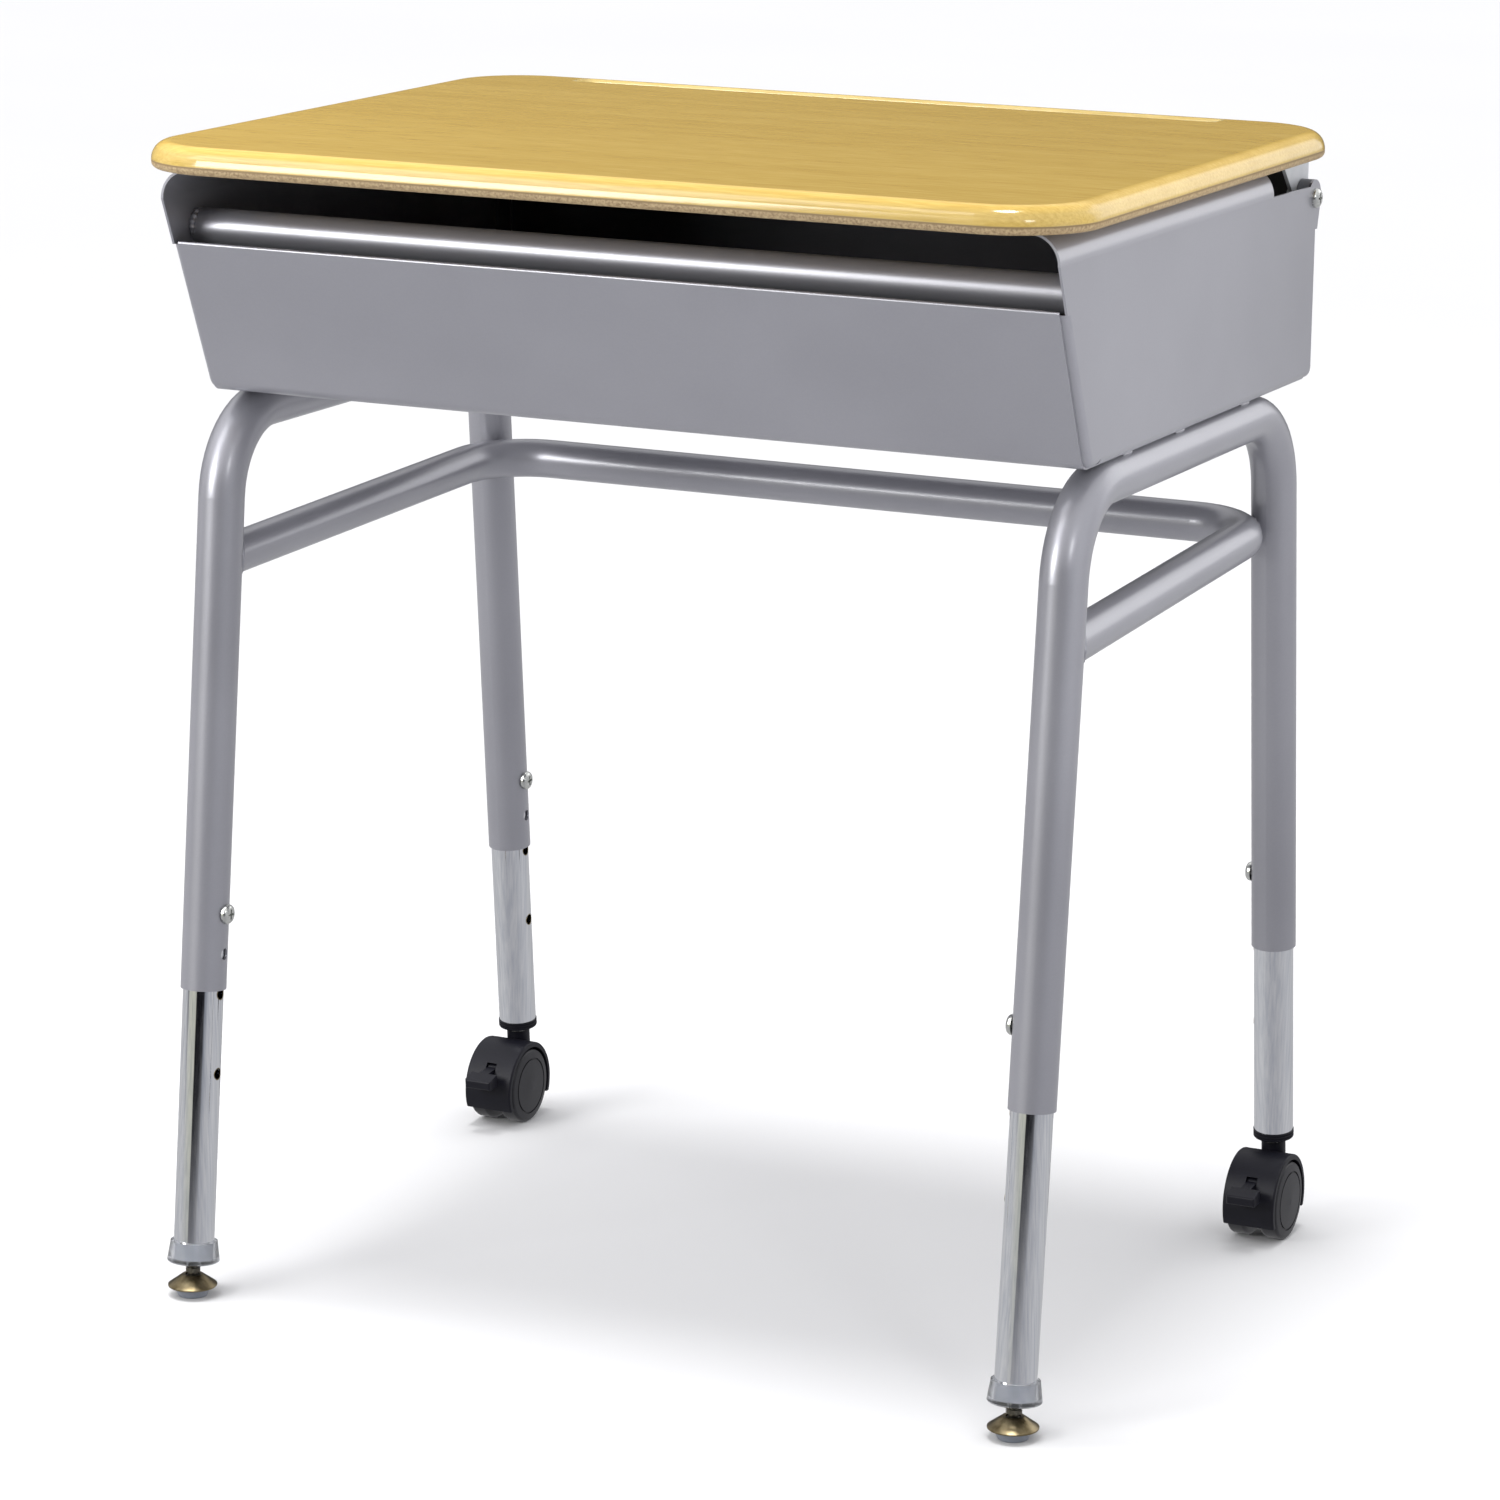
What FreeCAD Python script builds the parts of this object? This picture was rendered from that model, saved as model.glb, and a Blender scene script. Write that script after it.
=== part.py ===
import FreeCAD, Part
import math
import os

# School desk with a lifting lid over a sheet-steel book box, on two bent-tube side frames.
# Millimetres. X to the right, Y to the back, Z up from the floor.
# The right-hand pieces are built and mirrored to the left.

# Lid: moulded board with a rounded shoulder and a pencil groove along the back
lid_width = 609.6
lid_depth = 469.0
lid_thickness = 16.2
lid_corner_radius = 55.4
lid_shoulder_radius = 11.1
lid_lower_radius = 3.5
lid_rest_gap = 0.3
groove_end_margin = 78.8
groove_width = 16.6
groove_depth = 5.0
groove_floor_radius = 3.5
groove_back_margin = 13.0

# Book box: two bent sides and one bent tray
lid_side_overhang = 13.8
box_height = 142.1
box_floor_depth = 373.9
box_front_slope = 23.5
side_sheet = 1.5
side_bend_radius = 4.6
side_flange_width = 13.0
side_roll_radius = 18.5
side_roll_flat = 9.0
side_relief_length = 7.0
side_relief_height = 4.0
tray_sheet = 1.2
front_panel_height = 96.1
front_bend_radius = 9.0
rear_wall_height = 134.5
rear_bend_radius = 8.0
hem_width = 2.8
hem_return = 11.0
hem_end_gap = 1.0
flange_below_hem = 1.5
cross_tube_diameter = 23.4
cross_tube_wall = 1.5
cross_tube_setback = 31.6
cross_tube_rise = 5.9

# Lid hinge: a pivot screw each side through the ear, a spacer and the bracket leaf
pivot_from_lid_back = 22.2
pivot_from_box_rear = 7.4
pivot_drop = 27.9
pivot_screw_diameter = 6.35
pivot_head_diameter = 12.5
pivot_head_height = 3.7
ear_radius = 11.5
ear_dip = 1.5
ear_notch_from_pivot = 74.8
spacer_diameter = 23.0
spacer_thickness = 7.4
bracket_sheet = 2.3
bracket_round_radius = 12.0
bracket_front_reach = 36.3
bracket_flange_width = 26.0
bracket_bend_radius = 3.3
bracket_screw_diameter = 4.2
bracket_screw_length = 12.0
bracket_head_diameter = 8.2
bracket_head_height = 2.4
bracket_screw_pitch = 24.0
nut_across_flats = 11.1
nut_height = 5.5
nut_thread_over = 1.0
hinge_side_gap = 0.15
hinge_sweep_gap = 1.5

# Side frames: one bent tube each, front leg, rail and rear leg
leg_tube_diameter = 28.575
leg_tube_wall = 1.24
leg_lean = 5.4
leg_inset = 12.05
rail_height = 552.0
rail_half_span = 169.6
frame_set_forward = 18.9
leg_bend_radius = 55.4
tube_end_height = 195.7

# U-shaped brace between the legs
brace_diameter = 25.4
brace_wall = 1.5
brace_bend_radius = 44.3
brace_drop_front = 88.6
brace_drop_rear = 77.5
brace_weld_gap = 0.1

# Telescoping inserts and the screws that hold the height
insert_clearance = 0.35
insert_wall = 1.6
insert_overlap = 110.0
height_step = 25.4
height_screw_above_end = 48.3
height_screw_diameter = 6.35
height_head_diameter = 12.5
height_head_height = 3.7
height_hole_diameter = 7.2
insert_hole_count = 3
recess_width = 1.3
recess_length = 6.4
recess_depth = 1.6

# Front glides: plastic collar, ball stem, nut, metal dish and pad
collar_bottom = 22.0
collar_floor = 2.5
collar_height = 13.4
collar_top_diameter = 29.5
collar_bottom_diameter = 33.2
collar_edge_radius = 1.2
collar_plug_height = 18.0
glide_stem_diameter = 6.35
glide_ball_diameter = 11.2
glide_ball_height = 9.0
glide_nut_across_flats = 9.0
glide_nut_height = 2.6
glide_nut_above_ball = 6.2
dish_rim_diameter = 30.8
dish_rim_height = 6.5
dish_rim_depth = 0.8
dish_top_diameter = 13.0
dish_top_height = 13.8
dish_sheet = 0.9
dish_hole_diameter = 9.0
dish_mouth_diameter = 24.2
pad_foot_diameter = 18.5
pad_neck_diameter = 22.2
pad_neck_height = 5.3
pad_top_height = 6.5
pad_cup_gap = 0.2

# Rear twin-wheel casters on grip stems
wheel_diameter = 51.0
wheel_width = 13.0
wheel_gap = 10.6
wheel_edge_radius = 2.2
wheel_dome = 0.9
wheel_face_radius = 18.4
wheel_ring_width = 1.2
wheel_ring_depth = 0.8
wheel_face_proud = 0.8
axle_diameter = 6.0
axle_reach = 9.0
caster_offset = 18.5
hood_clearance = 1.5
hood_wall = 3.5
hood_skirt_drop = 9.5
hood_rear_drop = 13.0
hood_web_gap = 0.4
hood_edge_radius = 1.2
axle_boss_radius = 6.5
neck_diameter = 15.7
neck_top = 61.1
neck_length = 22.0
stem_diameter = 11.0
stem_seat = 10.0
washer_diameter = 14.4
washer_thickness = 2.2
swivel_gap = 0.2
socket_flange_diameter = 26.3
socket_flange_height = 5.5
socket_groove_shares = (0.42, 0.74)
socket_groove_width = 0.8
socket_groove_depth = 0.6
socket_plug_height = 28.0
socket_roof = 3.0
pedal_width = 19.4
pedal_depth = 10.5
pedal_height = 8.2
pedal_slope = 2.0
pedal_edge_radius = 1.4
pedal_arm_width = 7.0
pedal_arm_height = 4.0
pedal_standoff = 15.0
pedal_hub_diameter = 7.0
pedal_pin_diameter = 3.0
pedal_pivot_forward = 18.5
pedal_pivot_rise = 17.0
pedal_slot_above = 5.0
pedal_slot_below = 6.8
pedal_side_gap = 0.3

# Fits shared by the pieces
running_gap = 0.05
seat_gap = 0.05
cut_past = 1.0
head_round_share = 0.75
same_place = 1e-6

V = FreeCAD.Vector
X_AXIS = V(1, 0, 0)
Y_AXIS = V(0, 1, 0)
Z_AXIS = V(0, 0, 1)
ORIGIN = V(0, 0, 0)

# Places worked out from the sizes
leg_radius = leg_tube_diameter / 2
leg_bore_radius = leg_radius - leg_tube_wall
insert_radius = leg_bore_radius - insert_clearance
insert_bore_radius = insert_radius - insert_wall
lean = math.radians(leg_lean)
box_width = lid_width - 2 * lid_side_overhang
groove_length = lid_width - 2 * groove_end_margin
leg_x = box_width / 2 - leg_inset

lid_back_y = lid_depth / 2
pivot_y = lid_back_y - pivot_from_lid_back
box_rear_y = pivot_y + pivot_from_box_rear
box_front_y = box_rear_y - box_floor_depth
box_floor_z = rail_height + leg_radius
box_top_z = box_floor_z + box_height
lid_under_z = box_top_z + lid_rest_gap
lid_top_z = lid_under_z + lid_thickness
pivot_z = lid_under_z - pivot_drop

frame_centre_y = (box_front_y + box_rear_y) / 2 - frame_set_forward
foot_half_span = rail_half_span + rail_height * math.tan(lean)
front_foot_y = frame_centre_y - foot_half_span
rear_foot_y = frame_centre_y + foot_half_span
front_leg = FreeCAD.Placement(V(leg_x, front_foot_y, 0), FreeCAD.Rotation(X_AXIS, -leg_lean))
rear_leg = FreeCAD.Placement(V(leg_x, rear_foot_y, 0), FreeCAD.Rotation(X_AXIS, leg_lean))

wheel_radius = wheel_diameter / 2
hood_inner_radius = wheel_radius + hood_clearance
hood_outer_radius = hood_inner_radius + hood_wall
axle_height = (wheel_radius + caster_offset * math.sin(lean)) / math.cos(lean)
axle_local = V(0, -caster_offset, axle_height)
axle_y = rear_leg.multVec(axle_local).y

# The origin is at the middle of the desk's footprint, between the lid's front and the furthest back
rear_reach = max(lid_back_y, axle_y + hood_outer_radius)
origin_y = (rear_reach - lid_depth / 2) / 2


def rounded_edges(corners, closed):
    """Straight runs between corner points, with each corner rounded by its own radius."""
    turns = []
    for index, (corner, radius) in enumerate(corners):
        if radius == 0:
            turns.append((corner, None, corner))
            continue
        before = (corners[index - 1][0] - corner).normalize()
        after = (corners[(index + 1) % len(corners)][0] - corner).normalize()
        half_angle = before.getAngle(after) / 2
        set_back = radius / math.tan(half_angle)
        bisector = (before + after).normalize()
        middle = corner + bisector * (radius / math.sin(half_angle) - radius)
        turns.append((corner + before * set_back, middle, corner + after * set_back))
    edges = []
    for index, (entry, middle, leave) in enumerate(turns):
        if middle:
            edges.append(Part.Arc(entry, middle, leave).toShape())
        if closed or index < len(turns) - 1:
            following = turns[(index + 1) % len(turns)][0]
            if (following - leave).Length > same_place:
                edges.append(Part.LineSegment(leave, following).toShape())
    return edges


def extruded(corners, along):
    """Solid of a closed rounded outline pushed along a vector."""
    return Part.Face(Part.Wire(rounded_edges(corners, True))).extrude(along)


def turned(corners):
    """Solid of revolution about Z from (radius, height, corner radius) points."""
    outline = [(V(radius, 0, height), rounding) for radius, height, rounding in corners]
    return Part.Face(Part.Wire(rounded_edges(outline, True))).revolve(ORIGIN, Z_AXIS, 360)


def pipe(corners, radius):
    """Round bar along a path of straight runs and tangent bends."""
    start = corners[0][0]
    ring = Part.Wire(Part.Circle(start, corners[1][0] - start, radius).toShape())
    return Part.Wire(rounded_edges(corners, False)).makePipeShell([ring], True, False)


def rod(start, direction, radius, length):
    return Part.makeCylinder(radius, length, start, direction)


def block(low, high):
    size = high - low
    return Part.makeBox(size.x, size.y, size.z, low)


def placed(shape, placement):
    moved = shape.copy()
    moved.Placement = placement.multiply(moved.Placement)
    return moved


def mirrored(shape):
    return shape.mirror(ORIGIN, X_AXIS)


def flat_edges(shape, axis_name, value):
    """Edges that lie wholly at one coordinate."""
    return [edge for edge in shape.Edges
            if all(abs(getattr(vertex.Point, axis_name) - value) < same_place for vertex in edge.Vertexes)]


def pan_head_screw(head_diameter, head_height, shank_diameter, shank_length):
    """Cross-recessed pan-head screw on Z: the head above the origin, the shank below."""
    head_radius = head_diameter / 2
    head = turned([(0, 0, 0), (head_radius, 0, 0), (head_radius, head_height, head_height * head_round_share),
                   (0, head_height, 0)])
    shank = rod(V(0, 0, -shank_length), Z_AXIS, shank_diameter / 2, shank_length)
    long_half = recess_length * head_diameter / pivot_head_diameter / 2
    short_half = recess_width / 2
    floor = head_height - recess_depth * head_height / pivot_head_height
    top = head_height + cut_past
    slot_a = block(V(-long_half, -short_half, floor), V(long_half, short_half, top))
    slot_b = block(V(-short_half, -long_half, floor), V(short_half, long_half, top))
    return head.fuse(shank).cut(slot_a.fuse(slot_b)).removeSplitter()


def hex_nut(across_flats, height, bore_radius):
    """Plain hexagon nut standing on Z from the origin."""
    corner_radius = across_flats / 2 / math.cos(math.radians(30))
    corners = []
    for turn in range(6):
        angle = math.radians(60 * turn)
        corners.append((V(corner_radius * math.cos(angle), corner_radius * math.sin(angle), 0), 0))
    return extruded(corners, V(0, 0, height)).cut(rod(V(0, 0, -cut_past), Z_AXIS, bore_radius,
                                                      height + 2 * cut_past))


os.makedirs("parts", exist_ok=True)


def save(node, *solids):
    shape = Part.makeCompound(list(solids)) if len(solids) > 1 else solids[0].copy()
    shape.translate(V(0, -origin_y, 0))
    shape.exportStep("parts/" + node + ".step")


def save_pair(node, right):
    save(node + "_right", right)
    save(node + "_left", mirrored(right))


# Lid top: one board, shoulder rounded all round, with the pencil groove sunk in its face
lid_corners = []
for corner_x, corner_y in ((-1, -1), (1, -1), (1, 1), (-1, 1)):
    lid_corners.append((V(corner_x * lid_width / 2, corner_y * lid_depth / 2, lid_under_z), lid_corner_radius))
lid_top = extruded(lid_corners, V(0, 0, lid_thickness))
lid_top = lid_top.makeFillet(lid_shoulder_radius, flat_edges(lid_top, "z", lid_top_z))
lid_top = lid_top.makeFillet(lid_lower_radius, flat_edges(lid_top, "z", lid_under_z))
groove_y = lid_back_y - groove_back_margin - groove_width / 2
groove_floor_z = lid_top_z - groove_depth
groove_corners = []
for corner_x, corner_y in ((-1, -1), (1, -1), (1, 1), (-1, 1)):
    corner = V(corner_x * groove_length / 2, groove_y + corner_y * groove_width / 2, groove_floor_z)
    groove_corners.append((corner, groove_width / 2))
groove = extruded(groove_corners, V(0, 0, groove_depth + cut_past))
groove = groove.makeFillet(groove_floor_radius, flat_edges(groove, "z", groove_floor_z))
lid_top = lid_top.cut(groove)

# Hinge stations outward along X, from the nut inside to the screw head outside
ear_outer_x = box_width / 2
ear_inner_x = ear_outer_x - side_sheet
spacer_inner_x = ear_inner_x - spacer_thickness
leaf_outer_x = spacer_inner_x - hinge_side_gap
leaf_inner_x = leaf_outer_x - bracket_sheet
nut_outer_x = leaf_inner_x - hinge_side_gap
nut_inner_x = nut_outer_x - nut_height
pivot_radius = pivot_screw_diameter / 2

# Lid brackets: an angle with its flange under the lid and its leaf rounded about the pivot
bracket_front_y = pivot_y - bracket_front_reach
bracket_rear_y = pivot_y + bracket_round_radius
bracket_low_z = pivot_z - bracket_round_radius
flange_end_x = leaf_outer_x - bracket_flange_width
angle_corners = [
    (V(leaf_outer_x, bracket_front_y, bracket_low_z), 0),
    (V(leaf_outer_x, bracket_front_y, lid_under_z), bracket_bend_radius),
    (V(flange_end_x, bracket_front_y, lid_under_z), 0),
    (V(flange_end_x, bracket_front_y, lid_under_z - bracket_sheet), 0),
    (V(leaf_inner_x, bracket_front_y, lid_under_z - bracket_sheet), bracket_bend_radius - bracket_sheet),
    (V(leaf_inner_x, bracket_front_y, bracket_low_z), 0),
]
angle = extruded(angle_corners, V(0, bracket_rear_y - bracket_front_y, 0))
leaf_span = V(bracket_flange_width + cut_past, 0, 0)
leaf_outline = extruded([
    (V(flange_end_x, bracket_front_y, lid_under_z), 0),
    (V(flange_end_x, bracket_front_y, lid_under_z - bracket_sheet), 0),
    (V(flange_end_x, pivot_y - bracket_round_radius, pivot_z), 0),
    (V(flange_end_x, bracket_rear_y, pivot_z), 0),
    (V(flange_end_x, bracket_rear_y, lid_under_z), 0),
], leaf_span)
leaf_round = rod(V(flange_end_x, pivot_y, pivot_z), X_AXIS, bracket_round_radius, leaf_span.x)
pivot_bore = rod(V(flange_end_x, pivot_y, pivot_z), X_AXIS, pivot_radius + running_gap, leaf_span.x)
lid_bracket = angle.common(leaf_outline.fuse(leaf_round)).cut(pivot_bore)

# Bracket screws: two up through each flange into the lid
bracket_screw = pan_head_screw(bracket_head_diameter, bracket_head_height, bracket_screw_diameter,
                               bracket_screw_length)
bracket_screw_x = (flange_end_x + leaf_inner_x) / 2
bracket_mid_y = (bracket_front_y + bracket_rear_y) / 2
bracket_screw_radius = bracket_screw_diameter / 2 + seat_gap
bracket_screws = []
for offset in (-0.5, 0.5):
    seat = V(bracket_screw_x, bracket_mid_y + offset * bracket_screw_pitch, lid_under_z - bracket_sheet)
    screw = placed(bracket_screw, FreeCAD.Placement(seat, FreeCAD.Rotation(X_AXIS, 180)))
    bracket_screws += [screw, mirrored(screw)]
    hole = rod(seat - V(0, 0, cut_past), Z_AXIS, bracket_screw_radius,
               bracket_screw_length + seat_gap + cut_past)
    lid_bracket = lid_bracket.cut(hole)
    lid_top = lid_top.cut(hole).cut(mirrored(hole))
save("lid_top", lid_top)
save_pair("lid_bracket", lid_bracket)
save("lid_bracket_screws", *bracket_screws)

# Pivot screws, spacers and nuts
shank_length = ear_outer_x - nut_inner_x + nut_thread_over
pivot_screw = placed(pan_head_screw(pivot_head_diameter, pivot_head_height, pivot_screw_diameter, shank_length),
                     FreeCAD.Placement(V(ear_outer_x, pivot_y, pivot_z), FreeCAD.Rotation(Y_AXIS, 90)))
pivot_hole = rod(V(0, pivot_y, pivot_z), X_AXIS, pivot_radius + seat_gap, ear_outer_x + cut_past)
spacer = rod(V(spacer_inner_x, pivot_y, pivot_z), X_AXIS, spacer_diameter / 2, spacer_thickness).cut(pivot_hole)
pivot_nut = placed(hex_nut(nut_across_flats, nut_height, pivot_radius + seat_gap),
                   FreeCAD.Placement(V(nut_inner_x, pivot_y, pivot_z), FreeCAD.Rotation(Y_AXIS, 90)))
save("pivot_screws", pivot_screw, mirrored(pivot_screw))
save("pivot_spacers", spacer, mirrored(spacer))
save("pivot_nuts", pivot_nut, mirrored(pivot_nut))

# Book box tray: one bent sheet making the front panel, floor and rear wall, with a hem between the flanges
slope = math.radians(box_front_slope)
up_slant = V(0, -math.sin(slope), math.cos(slope))
into_box = V(0, math.cos(slope), math.sin(slope))


def front_line(height, inset):
    """Y of the sloping front at a height, set in by a thickness of sheet."""
    return box_front_y - (height - box_floor_z) * math.tan(slope) + inset / math.cos(slope)


tray_half = box_width / 2 - side_bend_radius
pan_inner_x = ear_outer_x - side_flange_width
front_top_z = box_floor_z + front_panel_height
rear_top_z = box_floor_z + rear_wall_height
tray_floor_z = box_floor_z + tray_sheet
front_top = V(-tray_half, front_line(front_top_z, 0), front_top_z)
hem_back = front_top + into_box * hem_width
hem_gap_back = front_top + into_box * (hem_width - tray_sheet)
tray = extruded([
    (front_top, hem_width / 2),
    (hem_back, hem_width / 2),
    (hem_back - up_slant * hem_return, 0),
    (hem_gap_back - up_slant * hem_return, 0),
    (hem_gap_back - up_slant * tray_sheet, 0),
    (front_top + into_box * tray_sheet - up_slant * tray_sheet, 0),
    (V(-tray_half, front_line(tray_floor_z, tray_sheet), tray_floor_z), front_bend_radius - tray_sheet),
    (V(-tray_half, box_rear_y - tray_sheet, tray_floor_z), rear_bend_radius - tray_sheet),
    (V(-tray_half, box_rear_y - tray_sheet, rear_top_z), 0),
    (V(-tray_half, box_rear_y, rear_top_z), 0),
    (V(-tray_half, box_rear_y, box_floor_z), rear_bend_radius),
    (V(-tray_half, box_front_y, box_floor_z), front_bend_radius),
], V(2 * tray_half, 0, 0))
hinge_notch = block(
    V(nut_inner_x - nut_thread_over - hinge_sweep_gap, box_rear_y - tray_sheet - cut_past,
      bracket_low_z - hinge_sweep_gap),
    V(tray_half + cut_past, box_rear_y + cut_past, rear_top_z + cut_past))
hem_end_x = pan_inner_x - hem_end_gap
hem_notch_top = V(hem_end_x, front_top.y, front_top.z) + up_slant * cut_past + into_box * tray_sheet
hem_notch_drop = up_slant * (hem_return + 2 * cut_past)
hem_notch_in = into_box * (hem_width - tray_sheet + cut_past)
hem_notch = extruded([
    (hem_notch_top, 0),
    (hem_notch_top + hem_notch_in, 0),
    (hem_notch_top + hem_notch_in - hem_notch_drop, 0),
    (hem_notch_top - hem_notch_drop, 0),
], V(tray_half + cut_past - hem_end_x, 0, 0))
for notch in (hinge_notch, hem_notch):
    tray = tray.cut(notch).cut(mirrored(notch))
save("book_box_tray", tray)

# Box sides: a flanged pan below, a plain plate with the hinge ear above, and the rolled-in top edge
flange_top_z = front_top_z - flange_below_hem
roll_start_z = box_top_z - side_roll_radius
notch_y = pivot_y - ear_notch_from_pivot
roll_front_y = front_line(roll_start_z, tray_sheet)


def side_pan(inset, inner_x, outer_x, bend, top_z):
    """Block with the side's outline and a rounded outer rim, set in by a thickness of sheet."""
    low_z = box_floor_z + inset
    pan = extruded([
        (V(inner_x, front_line(top_z, inset), top_z), 0),
        (V(inner_x, front_line(low_z, inset), low_z), front_bend_radius - inset),
        (V(inner_x, box_rear_y - inset, low_z), rear_bend_radius - inset),
        (V(inner_x, box_rear_y - inset, top_z), 0),
    ], V(outer_x - inner_x, 0, 0))
    rim = [edge for edge in flat_edges(pan, "x", outer_x)
           if any(vertex.Point.z < top_z - same_place for vertex in edge.Vertexes)]
    return pan.makeFillet(bend, rim)


box_side = side_pan(tray_sheet, pan_inner_x, ear_outer_x, side_bend_radius, flange_top_z)
box_side = box_side.cut(side_pan(tray_sheet + side_sheet, pan_inner_x - cut_past, ear_inner_x,
                                 side_bend_radius - side_sheet, flange_top_z + cut_past))
upper_plate = extruded([
    (V(ear_inner_x, front_line(flange_top_z, tray_sheet), flange_top_z), 0),
    (V(ear_inner_x, box_rear_y - tray_sheet, flange_top_z), 0),
    (V(ear_inner_x, pivot_y + ear_radius, pivot_z), 0),
    (V(ear_inner_x, pivot_y, roll_start_z - ear_dip), 0),
    (V(ear_inner_x, notch_y, roll_start_z), 0),
    (V(ear_inner_x, roll_front_y, roll_start_z), 0),
], V(side_sheet, 0, 0))
ear = rod(V(ear_inner_x, pivot_y, pivot_z), X_AXIS, ear_radius, side_sheet)
roll_end_x = ear_outer_x - side_roll_radius - side_roll_flat
roll = extruded([
    (V(ear_outer_x, roll_front_y, roll_start_z), 0),
    (V(ear_outer_x, roll_front_y, box_top_z), side_roll_radius),
    (V(roll_end_x, roll_front_y, box_top_z), 0),
    (V(roll_end_x, roll_front_y, box_top_z - side_sheet), 0),
    (V(ear_inner_x, roll_front_y, box_top_z - side_sheet), side_roll_radius - side_sheet),
    (V(ear_inner_x, roll_front_y, roll_start_z), 0),
], V(0, notch_y - roll_front_y, 0))
relief_y = box_front_y + front_bend_radius
relief = extruded([
    (V(pan_inner_x - cut_past, relief_y, tray_floor_z - cut_past), 0),
    (V(pan_inner_x - cut_past, relief_y + side_relief_length, tray_floor_z - cut_past), 0),
    (V(pan_inner_x - cut_past, relief_y + side_relief_length, tray_floor_z + side_relief_height), 0),
], V(side_flange_width + 2 * cut_past, 0, 0))
box_side = box_side.fuse([upper_plate, ear, roll]).removeSplitter().cut(relief).cut(pivot_hole)
save_pair("box_side", box_side)

# Front cross tube between the sides
cross_tube_place = V(-ear_inner_x, front_line(front_top_z, 0) + cross_tube_setback,
                     front_top_z + cross_tube_rise)
cross_tube = rod(cross_tube_place, X_AXIS, cross_tube_diameter / 2, 2 * ear_inner_x)
cross_tube = cross_tube.cut(rod(cross_tube_place, X_AXIS, cross_tube_diameter / 2 - cross_tube_wall,
                                2 * ear_inner_x))
save("front_cross_tube", cross_tube)


def leg_axis_y(foot_y, inward, height):
    """Y of a leg's axis at a height, from its foot."""
    return foot_y + inward * height * math.tan(lean)


# Side frames: one tube from the front leg's end over the rail to the rear leg's end, with the screw holes
frame_path = [
    (V(leg_x, leg_axis_y(front_foot_y, 1, tube_end_height), tube_end_height), 0),
    (V(leg_x, frame_centre_y - rail_half_span, rail_height), leg_bend_radius),
    (V(leg_x, frame_centre_y + rail_half_span, rail_height), leg_bend_radius),
    (V(leg_x, leg_axis_y(rear_foot_y, -1, tube_end_height), tube_end_height), 0),
]
frame_solid = pipe(frame_path, leg_radius)
side_frame = frame_solid.cut(pipe(frame_path, leg_bore_radius))
tube_end_along = tube_end_height / math.cos(lean)
screw_along = tube_end_along + height_screw_above_end
hole_radius = height_hole_diameter / 2
INBOARD = V(-1, 0, 0)
for leg in (front_leg, rear_leg):
    for steps_down in (0, 1):
        bore = rod(V(0, 0, screw_along - steps_down * height_step), INBOARD, hole_radius, leg_radius + cut_past)
        side_frame = side_frame.cut(placed(bore, leg))
save_pair("side_frame", side_frame)

# Height screws: heads on the inboard faces, shanks through the tube wall
height_screw = placed(
    pan_head_screw(height_head_diameter, height_head_height, height_screw_diameter, leg_tube_wall),
    FreeCAD.Placement(V(-leg_radius, 0, screw_along), FreeCAD.Rotation(Y_AXIS, -90)))
height_screws = []
for leg in (front_leg, rear_leg):
    screw = placed(height_screw, leg)
    height_screws += [screw, mirrored(screw)]
save("height_screws", *height_screws)

# U-brace: coped onto the front legs, with its bends welded against the rear legs
brace_radius = brace_diameter / 2
brace_inset = ((brace_bend_radius + leg_radius + brace_radius + brace_weld_gap) / math.sqrt(2)
               - brace_bend_radius)
brace_front_z = rail_height - brace_drop_front
brace_rear_z = rail_height - brace_drop_rear
brace_arm_x = leg_x - brace_inset
brace_front_y = leg_axis_y(front_foot_y, 1, brace_front_z)
brace_rear_y = leg_axis_y(rear_foot_y, -1, brace_rear_z) - brace_inset
brace_path = [
    (V(-leg_x, brace_front_y, brace_front_z), 0),
    (V(-brace_arm_x, brace_rear_y, brace_rear_z), brace_bend_radius),
    (V(brace_arm_x, brace_rear_y, brace_rear_z), brace_bend_radius),
    (V(leg_x, brace_front_y, brace_front_z), 0),
]
brace = pipe(brace_path, brace_radius).cut(pipe(brace_path, brace_radius - brace_wall))
save("u_brace", brace.cut(frame_solid).cut(mirrored(frame_solid)))


def leg_insert(bottom):
    """Telescoping tube from its lower end up into the leg, with a row of screw holes inboard."""
    length = tube_end_along + insert_overlap - bottom
    insert = rod(V(0, 0, bottom), Z_AXIS, insert_radius, length)
    insert = insert.cut(rod(V(0, 0, bottom), Z_AXIS, insert_bore_radius, length))
    for number in range(insert_hole_count):
        height = screw_along - 2 * height_step * number
        insert = insert.cut(rod(V(0, 0, height), INBOARD, hole_radius, insert_radius + cut_past))
    return insert


# Front inserts with their collars, ball stems and nuts, all on the leg's axis
front_insert_bottom = collar_bottom + collar_floor
save_pair("leg_insert_front", placed(leg_insert(front_insert_bottom), front_leg))
glide_stem_radius = glide_stem_diameter / 2
plug_radius = insert_bore_radius - seat_gap
collar_top = collar_bottom + collar_height
plug_top = front_insert_bottom + collar_plug_height
collar = turned([
    (glide_stem_radius + seat_gap, collar_bottom, 0),
    (collar_bottom_diameter / 2, collar_bottom, collar_edge_radius),
    (collar_top_diameter / 2, collar_top, 0),
    (insert_radius + seat_gap, collar_top, 0),
    (insert_radius + seat_gap, front_insert_bottom, 0),
    (plug_radius, front_insert_bottom, 0),
    (plug_radius, plug_top, 0),
    (glide_stem_radius + seat_gap, plug_top, 0),
])
save_pair("glide_collar", placed(collar, front_leg))
ball_along = glide_ball_height / math.cos(lean)
ball_radius = glide_ball_diameter / 2
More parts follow.
